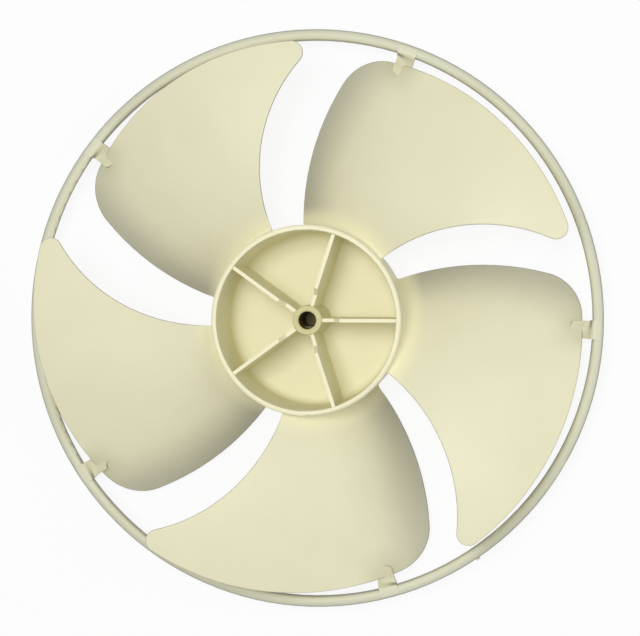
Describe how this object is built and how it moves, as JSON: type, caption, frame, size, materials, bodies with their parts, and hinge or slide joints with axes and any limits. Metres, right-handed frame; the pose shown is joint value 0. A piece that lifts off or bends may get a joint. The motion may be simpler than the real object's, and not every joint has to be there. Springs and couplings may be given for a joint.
{
  "type": "axial fan impeller",
  "caption": "Plastic axial fan impeller: an open hub cup with a ribbed shaft boss, swept blades and an outer slinger ring held on by short bridges.",
  "frame": {"origin": "on the spin axis, on the plane of the hub's flat back face, which is the lowest face of the part", "axes": "+Z along the spin axis, out of the open side of the hub where the motor shaft enters; +X along one rib of the hub; +Y completes a right-handed frame"},
  "size_m": [0.4, 0.4, 0.0741],
  "materials": {
    "moulding": "satin ivory moulding"
  },
  "bodies": {
    "root": {"fan_impeller": "moulding"}
  },
  "joints": []
}
